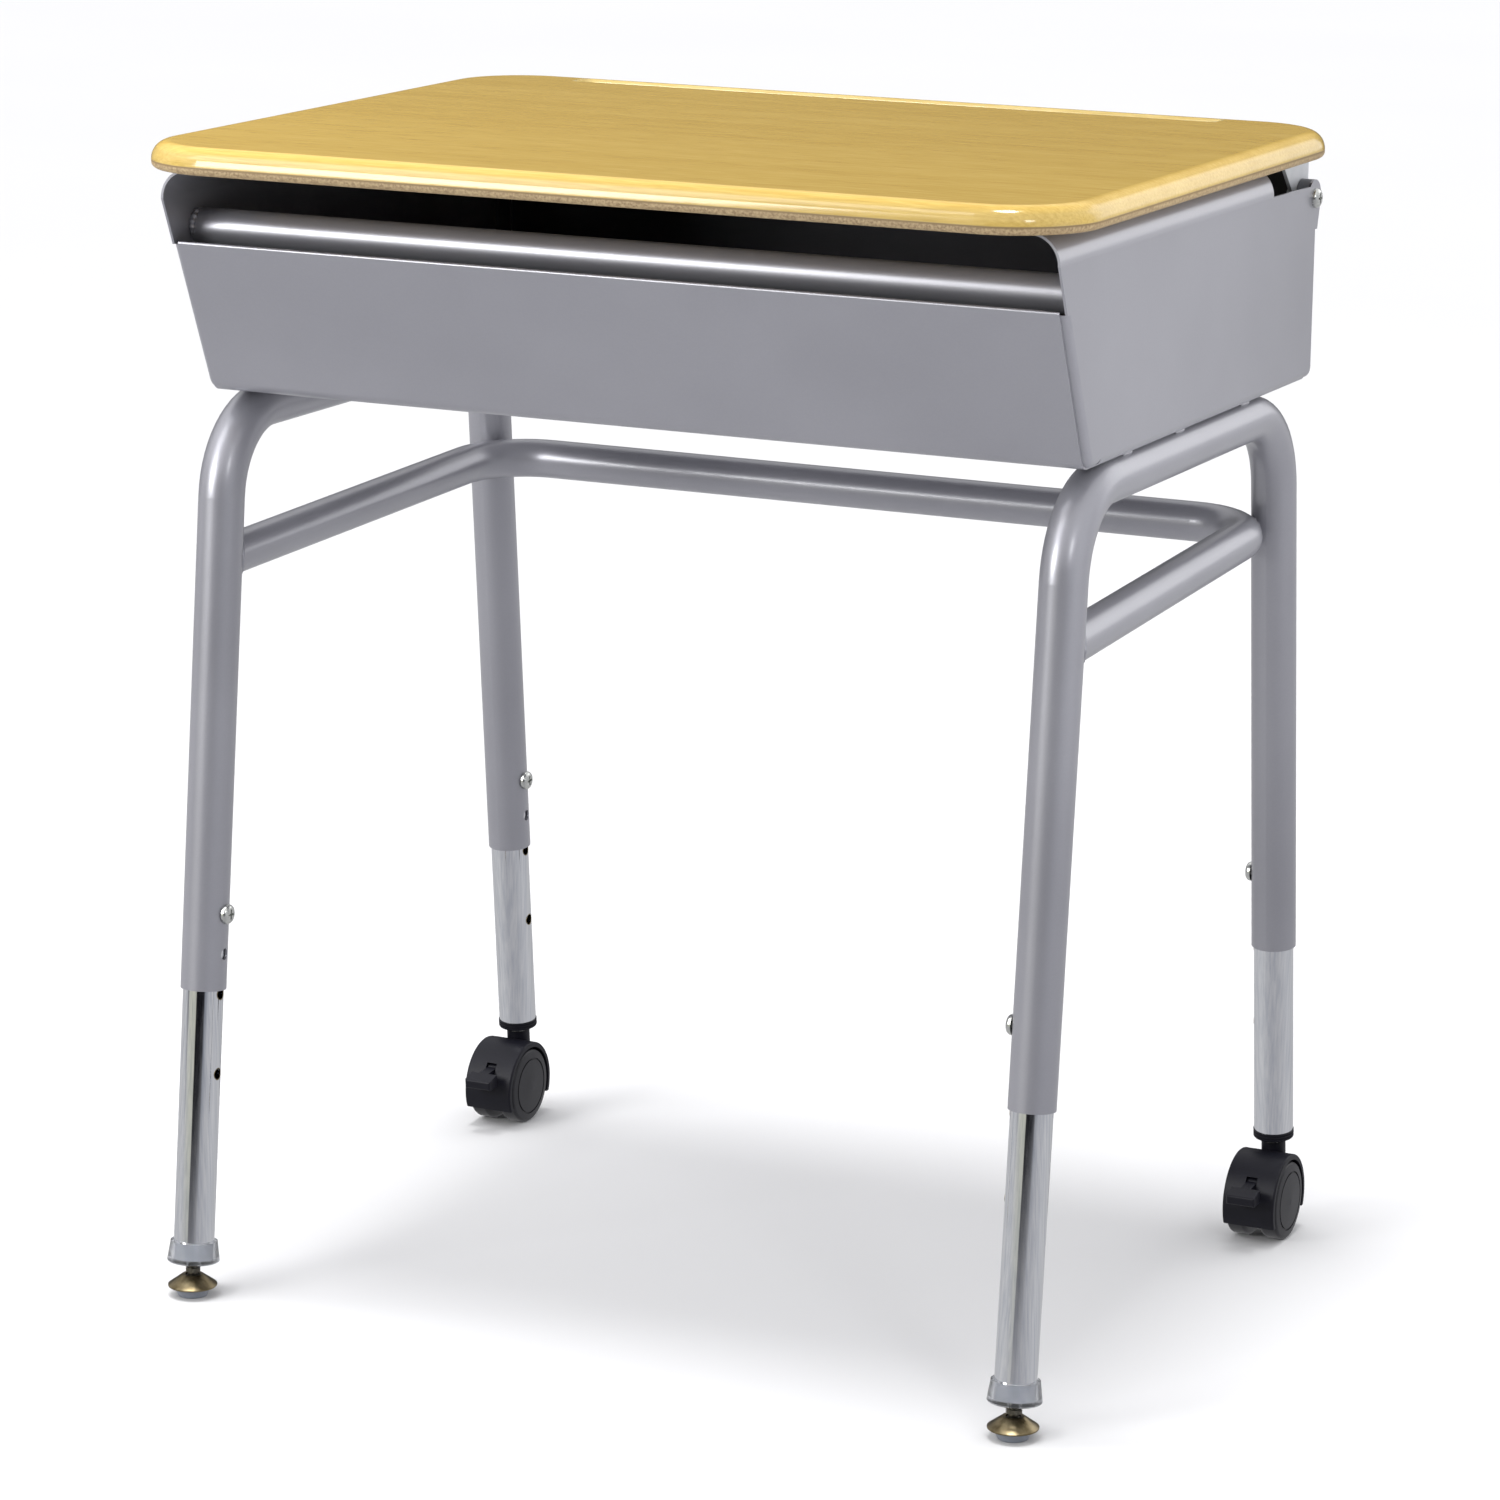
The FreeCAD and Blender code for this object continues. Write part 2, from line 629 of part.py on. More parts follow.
glide_stem = Part.makeSphere(ball_radius, V(0, 0, ball_along)).fuse(
    rod(V(0, 0, ball_along), Z_AXIS, glide_stem_radius, plug_top - ball_along))
save_pair("glide_stem", placed(glide_stem, front_leg))
glide_nut = hex_nut(glide_nut_across_flats, glide_nut_height, glide_stem_radius + seat_gap)
glide_nut.translate(V(0, 0, ball_along + glide_nut_above_ball))
save_pair("glide_nut", placed(glide_nut, front_leg))

# Glide feet: a pressed dish over a pad with a round cup for the ball, level on the floor
foot_place = FreeCAD.Placement(V(leg_x, leg_axis_y(front_foot_y, 1, glide_ball_height), 0), FreeCAD.Rotation())
dish_rim_radius = dish_rim_diameter / 2
dish_hole_radius = dish_hole_diameter / 2
dish_mouth_radius = dish_mouth_diameter / 2
dish_top_radius = dish_top_diameter / 2
dish = turned([
    (dish_hole_radius, dish_top_height - dish_sheet, 0),
    (dish_hole_radius, dish_top_height, 0),
    (dish_top_radius, dish_top_height, dish_sheet),
    (dish_rim_radius, dish_rim_height + dish_rim_depth, 0),
    (dish_rim_radius, dish_rim_height, 0),
    (dish_mouth_radius, dish_rim_height - dish_sheet, 0),
    (dish_mouth_radius, dish_rim_height, 0),
    (dish_rim_radius - 2 * dish_sheet, dish_rim_height + dish_rim_depth / 2, 0),
    (dish_top_radius - dish_sheet / 2, dish_top_height - dish_sheet, 0),
])
save_pair("glide_dish", placed(dish, foot_place))
pad_top_radius = dish_mouth_radius - 2 * seat_gap
pad = turned([
    (0, 0, 0),
    (pad_foot_diameter / 2, 0, dish_sheet),
    (pad_neck_diameter / 2, pad_neck_height, 0),
    (pad_top_radius, pad_neck_height, 0),
    (pad_top_radius, pad_top_height, 0),
    (0, pad_top_height, 0),
]).cut(Part.makeSphere(ball_radius + pad_cup_gap, V(0, 0, glide_ball_height)))
save_pair("glide_pad", placed(pad, foot_place))

# Rear inserts with the plastic sockets that grip the caster stems, two fine grooves round each flange
stem_radius = stem_diameter / 2
washer_top = neck_top + washer_thickness
socket_bottom = washer_top + swivel_gap
rear_insert_bottom = socket_bottom + socket_flange_height
socket_top = rear_insert_bottom + socket_plug_height
socket_flange_radius = socket_flange_diameter / 2
save_pair("leg_insert_rear", placed(leg_insert(rear_insert_bottom), rear_leg))
flange_side = [(socket_flange_radius, socket_bottom, collar_edge_radius)]
for share in socket_groove_shares:
    groove_low = socket_bottom + share * socket_flange_height - socket_groove_width / 2
    groove_high = groove_low + socket_groove_width
    groove_radius = socket_flange_radius - socket_groove_depth
    flange_side += [(socket_flange_radius, groove_low, 0), (groove_radius, groove_low, 0),
                    (groove_radius, groove_high, 0), (socket_flange_radius, groove_high, 0)]
socket = turned([
    (stem_radius + running_gap, socket_bottom, 0),
    *flange_side,
    (socket_flange_radius, rear_insert_bottom, 0),
    (plug_radius, rear_insert_bottom, 0),
    (plug_radius, socket_top, 0),
    (0, socket_top, 0),
    (0, socket_top - socket_roof, 0),
    (stem_radius + running_gap, socket_top - socket_roof, 0),
])
save_pair("caster_socket", placed(socket, rear_leg))

# Caster stems and washers
stem_bottom = neck_top - stem_seat
stem = rod(V(0, 0, stem_bottom), Z_AXIS, stem_radius, socket_top - socket_roof - swivel_gap - stem_bottom)
save_pair("caster_stem", placed(stem, rear_leg))
washer = rod(V(0, 0, neck_top), Z_AXIS, washer_diameter / 2, washer_thickness).cut(
    rod(V(0, 0, neck_top), Z_AXIS, stem_radius + seat_gap, washer_thickness))
save_pair("caster_washer", placed(washer, rear_leg))

# Caster hoods: a drum over both wheels, open below, with a web between the wheels and a neck
wheel_outer_x = wheel_gap / 2 + wheel_width
hood_half = wheel_outer_x - wheel_face_proud
web_half = wheel_gap / 2 - hood_web_gap
axle_radius = axle_diameter / 2


def across(half_width, radius, centre):
    """Cylinder along X, centred on a point."""
    return rod(centre - V(half_width, 0, 0), X_AXIS, radius, 2 * half_width)


drum = across(hood_half, hood_outer_radius, axle_local)
drum = drum.makeFillet(hood_edge_radius, flat_edges(drum, "x", hood_half) + flat_edges(drum, "x", -hood_half))
neck = rod(V(0, 0, neck_top - neck_length), Z_AXIS, neck_diameter / 2, neck_length)
hood = drum.fuse(neck)
for direction in (-1, 1):
    well = rod(axle_local + V(direction * web_half, 0, 0), V(direction, 0, 0), hood_inner_radius, hood_half)
    hood = hood.cut(well)
reach = hood_outer_radius + cut_past
below_front = block(axle_local + V(-reach, -reach, -reach), axle_local + V(reach, 0, -hood_skirt_drop))
below_rear = block(axle_local + V(-reach, 0, -reach), axle_local + V(reach, reach, -hood_rear_drop))
hood = hood.cut(below_front).cut(below_rear).fuse(across(web_half, axle_boss_radius, axle_local))
hood = hood.cut(across(web_half + cut_past, axle_radius + seat_gap, axle_local))
hood = hood.cut(rod(V(0, 0, stem_bottom), Z_AXIS, stem_radius + seat_gap, stem_seat + cut_past))
pedal_pivot = axle_local + V(0, -pedal_pivot_forward, pedal_pivot_rise)
pedal_hub_radius = pedal_hub_diameter / 2
slot_half = pedal_arm_width / 2 + pedal_side_gap
hub_room = pedal_hub_radius + pedal_side_gap
pedal_slot = block(
    V(-slot_half, axle_local.y - reach, pedal_pivot.z - pedal_slot_below),
    V(slot_half, pedal_pivot.y + hub_room, pedal_pivot.z + pedal_slot_above))
pedal_pin_radius = pedal_pin_diameter / 2
hood = hood.cut(pedal_slot).cut(across(web_half + cut_past, pedal_pin_radius + running_gap, pedal_pivot))
save_pair("caster_hood", placed(hood.removeSplitter(), rear_leg))

# Caster axles, pressed through the web
axle = across(wheel_gap / 2 + axle_reach, axle_radius, axle_local)
save_pair("caster_axle", placed(axle, rear_leg))

# Wheels: a rounded tread, a domed face with a recessed ring, and a blind bore for the axle
wheel_bore_depth = axle_reach + swivel_gap
ring_outer_radius = wheel_face_radius + wheel_ring_width
wheel = turned([
    (axle_radius + running_gap, 0, 0),
    (wheel_radius, 0, wheel_edge_radius),
    (wheel_radius, wheel_width - wheel_dome, wheel_edge_radius),
    (ring_outer_radius, wheel_width, 0),
    (ring_outer_radius, wheel_width - wheel_ring_depth, 0),
    (wheel_face_radius, wheel_width - wheel_ring_depth, 0),
    (wheel_face_radius, wheel_width, 0),
    (0, wheel_width + wheel_dome, 0),
    (0, wheel_bore_depth, 0),
    (axle_radius + running_gap, wheel_bore_depth, 0),
])
for name, direction in (("outer", 1), ("inner", -1)):
    hub = axle_local + V(direction * wheel_gap / 2, 0, 0)
    seated = placed(wheel, FreeCAD.Placement(hub, FreeCAD.Rotation(Y_AXIS, direction * 90)))
    save_pair("caster_wheel_" + name, placed(seated, rear_leg))

# Brake pedals: a rounded tread sloping down in front of the hood, on an arm with a hub and pin in the web
tread_back = pedal_pivot.y - pedal_standoff
tread_front = tread_back - pedal_depth
tread_top = pedal_pivot.z + pedal_arm_height / 2
tread_bottom = tread_top - pedal_height
tread = extruded([
    (V(-pedal_width / 2, tread_back, tread_bottom), 0),
    (V(-pedal_width / 2, tread_front, tread_bottom), 0),
    (V(-pedal_width / 2, tread_front, tread_top - pedal_slope), 0),
    (V(-pedal_width / 2, tread_back, tread_top), 0),
], V(pedal_width, 0, 0))
tread = tread.makeFillet(pedal_edge_radius, flat_edges(tread, "y", tread_front))
arm = block(V(-pedal_arm_width / 2, tread_back, pedal_pivot.z - pedal_arm_height / 2),
            V(pedal_arm_width / 2, pedal_pivot.y, pedal_pivot.z + pedal_arm_height / 2))
pedal_hub = across(pedal_arm_width / 2, pedal_hub_radius, pedal_pivot)
pedal_pin = across(web_half, pedal_pin_radius, pedal_pivot)
brake = tread.fuse([arm, pedal_hub, pedal_pin]).removeSplitter()
save_pair("caster_brake", placed(brake, rear_leg))
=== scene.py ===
import math

import bpy
from mathutils import Matrix, Vector


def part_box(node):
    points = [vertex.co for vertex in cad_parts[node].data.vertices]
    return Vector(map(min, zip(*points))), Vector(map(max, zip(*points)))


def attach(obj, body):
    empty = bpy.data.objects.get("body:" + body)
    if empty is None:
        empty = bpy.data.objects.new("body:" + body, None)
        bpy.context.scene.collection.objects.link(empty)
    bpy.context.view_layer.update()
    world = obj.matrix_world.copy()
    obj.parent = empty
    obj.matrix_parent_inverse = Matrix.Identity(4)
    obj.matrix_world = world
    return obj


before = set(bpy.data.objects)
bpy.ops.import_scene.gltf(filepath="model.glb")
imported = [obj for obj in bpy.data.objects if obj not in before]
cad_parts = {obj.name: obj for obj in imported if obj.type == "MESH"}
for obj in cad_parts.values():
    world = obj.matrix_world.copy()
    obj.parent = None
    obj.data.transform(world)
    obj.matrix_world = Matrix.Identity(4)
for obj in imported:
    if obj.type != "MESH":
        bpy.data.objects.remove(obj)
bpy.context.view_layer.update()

scene = bpy.context.scene

# Camera: to the right of the desk's front and a little above the lid, on a long lens.
# The whole desk fills the square frame, with a slight roll as in the photograph.
camera_azimuth = math.radians(25.31)
camera_elevation = math.radians(13.34)
camera_roll = math.radians(0.63)
camera_distance = 3.287
camera_target = Vector((0.0431, -0.0837, 0.3603))
camera_back = Vector((
    math.sin(camera_azimuth) * math.cos(camera_elevation),
    -math.cos(camera_azimuth) * math.cos(camera_elevation),
    math.sin(camera_elevation),
))
level_right = Vector((math.cos(camera_azimuth), math.sin(camera_azimuth), 0))
level_up = camera_back.cross(level_right)
camera_right = math.cos(camera_roll) * level_right + math.sin(camera_roll) * level_up
camera_up = camera_back.cross(camera_right)
camera_data = bpy.data.cameras.new("camera")
camera_data.sensor_width = 36
camera_data.lens = 129.57
camera = bpy.data.objects.new("camera", camera_data)
scene.collection.objects.link(camera)
camera_turn = Matrix((camera_right, camera_up, camera_back)).transposed().to_4x4()
camera.matrix_world = Matrix.Translation(camera_target + camera_distance * camera_back) @ camera_turn
scene.camera = camera
scene.view_settings.view_transform = "Standard"


# Floor: a seamless sweep of matt white studio paper, so wide that it fills the view.
# Its only pattern is the faint cloudiness of paper, in a pale grey that the lamps light up to white.
# Mirrors look past it at the studio's walls.
def linear(hex_colour):
    """Linear RGBA from an sRGB hex colour."""
    shares = [int(hex_colour[start:start + 2], 16) / 255 for start in (1, 3, 5)]
    light = [share / 12.92 if share <= 0.04045 else ((share + 0.055) / 1.055) ** 2.4 for share in shares]
    return light + [1.0]


def add_node(tree, kind, inputs=(), stops=(), **settings):
    """One node with its settings, inputs and colour stops. An input given as a socket is linked."""
    node = tree.nodes.new(kind)
    for name, value in settings.items():
        setattr(node, name, value)
    for socket, value in inputs:
        if isinstance(value, bpy.types.NodeSocket):
            tree.links.new(value, node.inputs[socket])
        else:
            node.inputs[socket].default_value = value
    for index, (position, hex_colour) in enumerate(stops):
        ramp = node.color_ramp.elements
        stop = ramp[index] if index < 2 else ramp.new(position)
        stop.position = position
        stop.color = linear(hex_colour)
    return node


def new_material(name):
    """An empty node material, with its tree, its shader and the place on the object."""
    material = bpy.data.materials.new(name)
    material.use_nodes = True
    tree = material.node_tree
    place = add_node(tree, "ShaderNodeTexCoord").outputs["Object"]
    return material, tree, tree.nodes["Principled BSDF"], place


def new_piece(name, points, faces, material, smooth=True):
    """A mesh object from points in metres and faces, linked into the scene."""
    mesh = bpy.data.meshes.new(name)
    mesh.from_pydata(points, [], faces)
    mesh.polygons.foreach_set("use_smooth", [smooth] * len(mesh.polygons))
    mesh.materials.append(material)
    piece = bpy.data.objects.new(name, mesh)
    scene.collection.objects.link(piece)
    return piece


def per_mm(millimetres):
    """Texture scale at which one feature of the pattern is that many millimetres wide."""
    return 1000 / millimetres


def noise(tree, place, millimetres, detail):
    """A share from 0 to 1, in clouds about that many millimetres wide."""
    inputs = [("Vector", place), ("Scale", per_mm(millimetres)), ("Detail", detail)]
    return add_node(tree, "ShaderNodeTexNoise", inputs).outputs["Fac"]


def tones(tree, share, *stops):
    """The colour that a share picks between stops, each a position and an sRGB hex colour."""
    return add_node(tree, "ShaderNodeValToRGB", [("Fac", share)], stops=stops).outputs["Color"]


studio_paper, tree, shader, place = new_material("matt_white_studio_paper")
paper_tones = tones(tree, noise(tree, place, 900, 2.0), (0.0, "#D4D4D5"), (1.0, "#D7D7D8"))
tree.links.new(paper_tones, shader.inputs["Base Color"])
shader.inputs["Roughness"].default_value = 0.9
shader.inputs["Specular IOR Level"].default_value = 0.2
floor_reach = 25.0
floor_corners = [(-floor_reach, -floor_reach, 0), (floor_reach, -floor_reach, 0),
                 (floor_reach, floor_reach, 0), (-floor_reach, floor_reach, 0)]
floor = new_piece("floor", floor_corners, [(0, 1, 2, 3)], studio_paper)
floor.visible_glossy = False


# Studio room: a bright ceiling, a ring of dark and pale walls, and pale paper below them.
# The bands of wall, by azimuth as the camera's, are what the chrome and the coated tubes mirror.
def arithmetic(tree, operation, *values):
    """The result of one operation on sockets or numbers."""
    return add_node(tree, "ShaderNodeMath", enumerate(values), operation=operation).outputs["Value"]


def share_between(tree, value, low, high, **settings):
    """How far a value has come from low to high, as a share from 0 to 1."""
    inputs = [("Value", value), ("From Min", low), ("From Max", high)]
    return add_node(tree, "ShaderNodeMapRange", inputs, **settings).outputs["Result"]


def mix_colours(tree, share, first, second):
    """First colour where a share is 0, second where it is 1. The numbers are the node's colour sockets."""
    inputs = [("Factor", share), (6, first), (7, second)]
    return add_node(tree, "ShaderNodeMix", inputs, data_type="RGBA").outputs[2]


def room_bands(tree, share, bands):
    """Colours round the room, from pairs of an azimuth in degrees and an sRGB hex colour."""
    return tones(tree, share, *[((turn + 180) / 360, hex_colour) for turn, hex_colour in bands])


room = bpy.data.worlds.new("studio_room")
room.use_nodes = True
scene.world = room
tree = room.node_tree
look = add_node(tree, "ShaderNodeTexCoord").outputs["Generated"]
away = add_node(tree, "ShaderNodeSeparateXYZ", [("Vector", look)])
forward = arithmetic(tree, "MULTIPLY", away.outputs["Y"], -1.0)
azimuth = arithmetic(tree, "ARCTAN2", away.outputs["X"], forward)
turn_share = share_between(tree, azimuth, -math.pi, math.pi)
walls = room_bands(tree, turn_share, [
    (-180, "#4C4C4F"), (-105, "#77777A"), (-80, "#D8D8DA"), (-70, "#D8D8DA"), (-68, "#29292C"),
    (-55, "#1D1D20"), (-53, "#D2D2C4"), (-8, "#CCCCBF"), (-6, "#101013"), (36, "#15151A"),
    (42, "#8C9098"), (75, "#DCDEE2"), (117, "#E2E2E5"), (119, "#3A3A3E"), (123, "#3A3A3E"),
    (125, "#DCDCDF"), (166, "#DCDCDF"), (176, "#4C4C4F"),
])
paper = room_bands(tree, turn_share, [
    (-180, "#C6C6C8"), (-60, "#D4D4D6"), (0, "#B9B9BD"), (45, "#B9B9BD"), (110, "#D0D0D3"), (180, "#C6C6C8"),
])
# Elevations where the ceiling starts and is full, and where the walls end and the paper is full
ceiling_start = math.sin(math.radians(9))
ceiling_full = math.sin(math.radians(38))
wall_foot = math.sin(math.radians(-7.3))
paper_full = math.sin(math.radians(-10))
ceiling_share = share_between(tree, away.outputs["Z"], ceiling_start, ceiling_full,
                              interpolation_type="SMOOTHSTEP")
paper_share = share_between(tree, away.outputs["Z"], wall_foot, paper_full)
upper_room = mix_colours(tree, ceiling_share, walls, linear("#FDFDFF"))
whole_room = mix_colours(tree, paper_share, upper_room, paper)
# The camera itself sees plain white past the end of the paper
seen = add_node(tree, "ShaderNodeLightPath").outputs["Is Camera Ray"]
room_colour = mix_colours(tree, seen, whole_room, linear("#FFFFFF"))
background = tree.nodes["Background"]
background.inputs["Strength"].default_value = 1.0
tree.links.new(room_colour, background.inputs["Color"])


# Studio lamps: a bank overhead for the soft shadow, a soft box at the front right and a lit wall at the back.
# At the front left, mirrors show a soft box and an umbrella, and matt skin is lit by a key of its own.
# A close key at the left and a close fill at the right light matt skin too, and mirrors don't show them.
def studio_lamp(name, kind, azimuth, elevation, distance, energy, height=0.45, in_mirrors=True, on_matt=True,
                **settings):
    """A lamp aimed at the desk's middle at one height, with its azimuth measured as the camera's.

    Angles are in degrees and lengths in metres. Energy is in watts, or in watts a square metre for a sun.
    """
    turn, rise = math.radians(azimuth), math.radians(elevation)
    away = Vector((math.sin(turn) * math.cos(rise), -math.cos(turn) * math.cos(rise), math.sin(rise)))
    light = bpy.data.lights.new(name, kind)
    light.energy = energy
    for setting, value in settings.items():
        setattr(light, setting, value)
    lamp = bpy.data.objects.new(name, light)
    scene.collection.objects.link(lamp)
    lamp.location = Vector((0, 0, height)) + distance * away
    lamp.rotation_mode = "QUATERNION"
    lamp.rotation_quaternion = away.to_track_quat("Z", "Y")
    lamp.visible_glossy = in_mirrors
    lamp.visible_diffuse = on_matt
    lamp.visible_camera = False


studio_lamp("overhead_bank", "SUN", -25, 86, 2.8, 1.9, angle=math.radians(16))
studio_lamp("front_left_soft_box", "AREA", -30.6, 20, 2.8, 46, on_matt=False,
            shape="RECTANGLE", size=0.86, size_y=1.15)
studio_lamp("front_left_umbrella", "AREA", -42, 48, 2.8, 16, on_matt=False,
            shape="RECTANGLE", size=1.2, size_y=1.2)
studio_lamp("front_left_key", "AREA", -30.6, 16, 2.8, 26, in_mirrors=False,
            shape="RECTANGLE", size=0.86, size_y=0.4)
studio_lamp("front_right_soft_box", "AREA", 46, 28, 2.8, 7,
            shape="RECTANGLE", size=0.4, size_y=0.5)
studio_lamp("back_right_wall", "AREA", 150, 20, 2.8, 9,
            shape="RECTANGLE", size=1.7, size_y=1.6)
studio_lamp("left_key", "AREA", -60, 35, 1.15, 6, in_mirrors=False,
            shape="RECTANGLE", size=0.5, size_y=0.7)
studio_lamp("right_fill", "AREA", 80, 0, 0.95, 0.5, height=0.62, in_mirrors=False,
            shape="RECTANGLE", size=0.4, size_y=0.4, spread=math.radians(60))


# Side frames, brace, book box and cross tube: welded steel, all sprayed and baked together.
# Silver powder coat is a polyester paint with aluminium flake.
# It gives a satin grey with fine sparkle and orange peel.
def mix_shares(tree, factor, first, second):
    """First share where a factor is 0, second where it is 1. The numbers are the node's number sockets."""
    return add_node(tree, "ShaderNodeMix", [("Factor", factor), (2, first), (3, second)]).outputs[0]


def roughness_by(tree, share, low, high):
    """A roughness that goes from low to high as a share goes from 0 to 1."""
    inputs = [("Value", share), ("To Min", low), ("To Max", high)]
    return add_node(tree, "ShaderNodeMapRange", inputs).outputs["Result"]


def bump(tree, height, strength, distance):
    """The bent normal of a skin that rises with a share, up to a distance in metres."""
    inputs = [("Strength", strength), ("Distance", distance), ("Height", height)]
    return add_node(tree, "ShaderNodeBump", inputs).outputs["Normal"]


def finish_with(material, *names):
    """Gives CAD nodes their finish."""
    for name in names:
        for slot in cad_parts[name].material_slots:
            slot.material = material


silver_coat, tree, shader, place = new_material("silver_powder_coat")
# The real flake is about 0.1 mm, drawn here at 0.9 mm so that it shows
flake = add_node(tree, "ShaderNodeTexVoronoi", [("Vector", place), ("Scale", per_mm(0.9))])
flake_tone = add_node(tree, "ShaderNodeSeparateColor", [("Color", flake.outputs["Color"])]).outputs["Red"]
drift = noise(tree, place, 140, 3.0)
drift_weight = 0.93
coat_share = mix_shares(tree, drift_weight, flake_tone, drift)
coat_tones = tones(tree, coat_share, (0.15, "#8A8A91"), (0.85, "#9999A0"))
# The front-facing skin at the box's back, above its floor, is painted dark grey as painted shade for the dark
# inside of the box
tray_low, tray_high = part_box("book_box_tray")
shade_depth = 0.02
shade_above_floor = 0.002
front_facing_y = -0.5
normal = add_node(tree, "ShaderNodeNewGeometry").outputs["Normal"]
facing = add_node(tree, "ShaderNodeSeparateXYZ", [("Vector", normal)])
spot = add_node(tree, "ShaderNodeSeparateXYZ", [("Vector", place)])
to_front = arithmetic(tree, "LESS_THAN", facing.outputs["Y"], front_facing_y)
at_back = arithmetic(tree, "GREATER_THAN", spot.outputs["Y"], tray_high.y - shade_depth)
over_floor = arithmetic(tree, "GREATER_THAN", spot.outputs["Z"], tray_low.z + shade_above_floor)
shaded_back_wall = arithmetic(tree, "MULTIPLY", to_front, at_back)
painted_shade_share = arithmetic(tree, "MULTIPLY", shaded_back_wall, over_floor)
# Dark grey tones painted on that skin as shade
painted_shade_tones = tones(tree, coat_share, (0.15, "#3C3B40"), (0.85, "#4E4D53"))
coat_colour = mix_colours(tree, painted_shade_share, coat_tones, painted_shade_tones)
peel = noise(tree, place, 2.4, 0.0)
tree.links.new(coat_colour, shader.inputs["Base Color"])
tree.links.new(roughness_by(tree, drift, 0.34, 0.42), shader.inputs["Roughness"])
tree.links.new(bump(tree, peel, 0.04, 0.0003), shader.inputs["Normal"])
shader.inputs["Metallic"].default_value = 0.5
shader.inputs["IOR"].default_value = 1.5
shader.inputs["Coat Weight"].default_value = 0.6
shader.inputs["Coat Roughness"].default_value = 0.2
finish_with(silver_coat, "side_frame_left", "side_frame_right", "u_brace", "book_box_tray", "box_side_left",
            "box_side_right", "front_cross_tube")

# Weld beads: filler run round the joints of the tubes, under the same coat as the tubes.
# Each bead is a row of small overlapping ripples, thinner where the run starts and stops.
# The feet and rises are the middle lines of the right-hand legs, down to the floor.
leg_x = 0.27895
leg_slope = math.tan(math.radians(5.4))
front_foot = Vector((leg_x, -0.21325, 0))
front_rise = Vector((0, leg_slope, 1)).normalized()
rear_foot = Vector((leg_x, 0.23031, 0))
rear_rise = Vector((0, -leg_slope, 1)).normalized()
leg_radius = 0.0142875
brace_radius = 0.0127
brace_front = Vector((leg_x, -0.16944, 0.4634))
brace_rear = Vector((0.272771, 0.179278, 0.4745))
bead_sides = 10
bead_end_share = 0.25
ripple_depth = 0.16


def bead_mesh(paths, thickness, ripple_length):
    """Points and faces of rippled beads along paths; a path that ends where it starts is a closed ring."""
    points, faces = [], []
    for path in paths:
        closed = (path[0] - path[-1]).length < 1e-6
        first = len(points)
        run = 0.0
        for index, centre in enumerate(path):
            before = path[index - 1] if index else (path[-2] if closed else path[0])
            after = path[index + 1] if index + 1 < len(path) else (path[1] if closed else path[-1])
            along = (after - before).normalized()
            aside = along.orthogonal().normalized()
            across = along.cross(aside)
            run += (centre - before).length
            share = index / (len(path) - 1)
            swell = math.sin(math.pi * share) ** 0.5
            taper = 1.0 if closed else bead_end_share + (1 - bead_end_share) * swell
            radius = thickness * taper * (1 + ripple_depth * math.sin(2 * math.pi * run / ripple_length))
            for side in range(bead_sides):
                angle = 2 * math.pi * side / bead_sides
                points.append(centre + radius * (math.cos(angle) * aside + math.sin(angle) * across))
        for index in range(len(path) - 1):
            for side in range(bead_sides):
                low = first + index * bead_sides
                high = low + bead_sides
                turn = (side + 1) % bead_sides
                faces.append((low + side, low + turn, high + turn, high + side))
        if not closed:
            last = first + (len(path) - 1) * bead_sides
            faces.append(tuple(first + side for side in reversed(range(bead_sides))))
            faces.append(tuple(last + side for side in range(bead_sides)))
    return points, faces


def both_sides(paths):
    """The right-hand paths with their mirror images on the left."""
    return paths + [[Vector((-point.x, point.y, point.z)) for point in path] for path in paths]


# Front joints: the ring where the skin of the brace runs into the skin of the leg
brace_along = (brace_rear - brace_front).normalized()
upward = Vector((1, 0, 0)).cross(brace_along).normalized()
outward = brace_along.cross(upward)
front_joint_steps = 64
front_joint = []
for step in range(front_joint_steps + 1):
    angle = 2 * math.pi * step / front_joint_steps
    start = brace_front + brace_radius * (math.cos(angle) * outward + math.sin(angle) * upward)
    offset = start - front_foot
    flat_offset = offset - offset.dot(front_rise) * front_rise
    flat_along = brace_along - brace_along.dot(front_rise) * front_rise
    half = flat_offset.dot(flat_along) / flat_along.length_squared
    rest = (flat_offset.length_squared - leg_radius ** 2) / flat_along.length_squared
    front_joint.append(start + brace_along * (-half + math.sqrt(max(half * half - rest, 0.0))))
# Rear joints: a ring about the spot where the outside of the brace's bend touches the leg.
# It lies halfway into the gap between the skins, which opens slower upwards than sideways.
touch_height = (brace_rear.z - rear_foot.z) / rear_rise.z
leg_middle = rear_foot + rear_rise * touch_height
inward = Vector((-1, -1, 0)).normalized()
aside = Vector((1, -1, 0)).normalized()
ring_half_width = 0.0064
ring_half_height = 0.0066
gap_radius_sideways = 0.0229
gap_radius_upwards = 2 * brace_radius
rear_joint_steps = 32
rear_joint = []
for step in range(rear_joint_steps + 1):
    angle = 2 * math.pi * step / rear_joint_steps
    sideways = ring_half_width * math.cos(angle)
    raised = ring_half_height * math.sin(angle)
    skin = math.sqrt(leg_radius ** 2 - sideways ** 2)
    gap = sideways ** 2 / gap_radius_sideways / 2 + raised ** 2 / gap_radius_upwards / 2
    rear_joint.append(leg_middle + inward * (skin + gap) + aside * sideways + rear_rise * raised)
points, faces = bead_mesh(both_sides([front_joint, rear_joint]), thickness=0.0016, ripple_length=0.0036)
brace_welds = new_piece("weld_beads_brace", points, faces, silver_coat)
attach(brace_welds, "desk_frame")

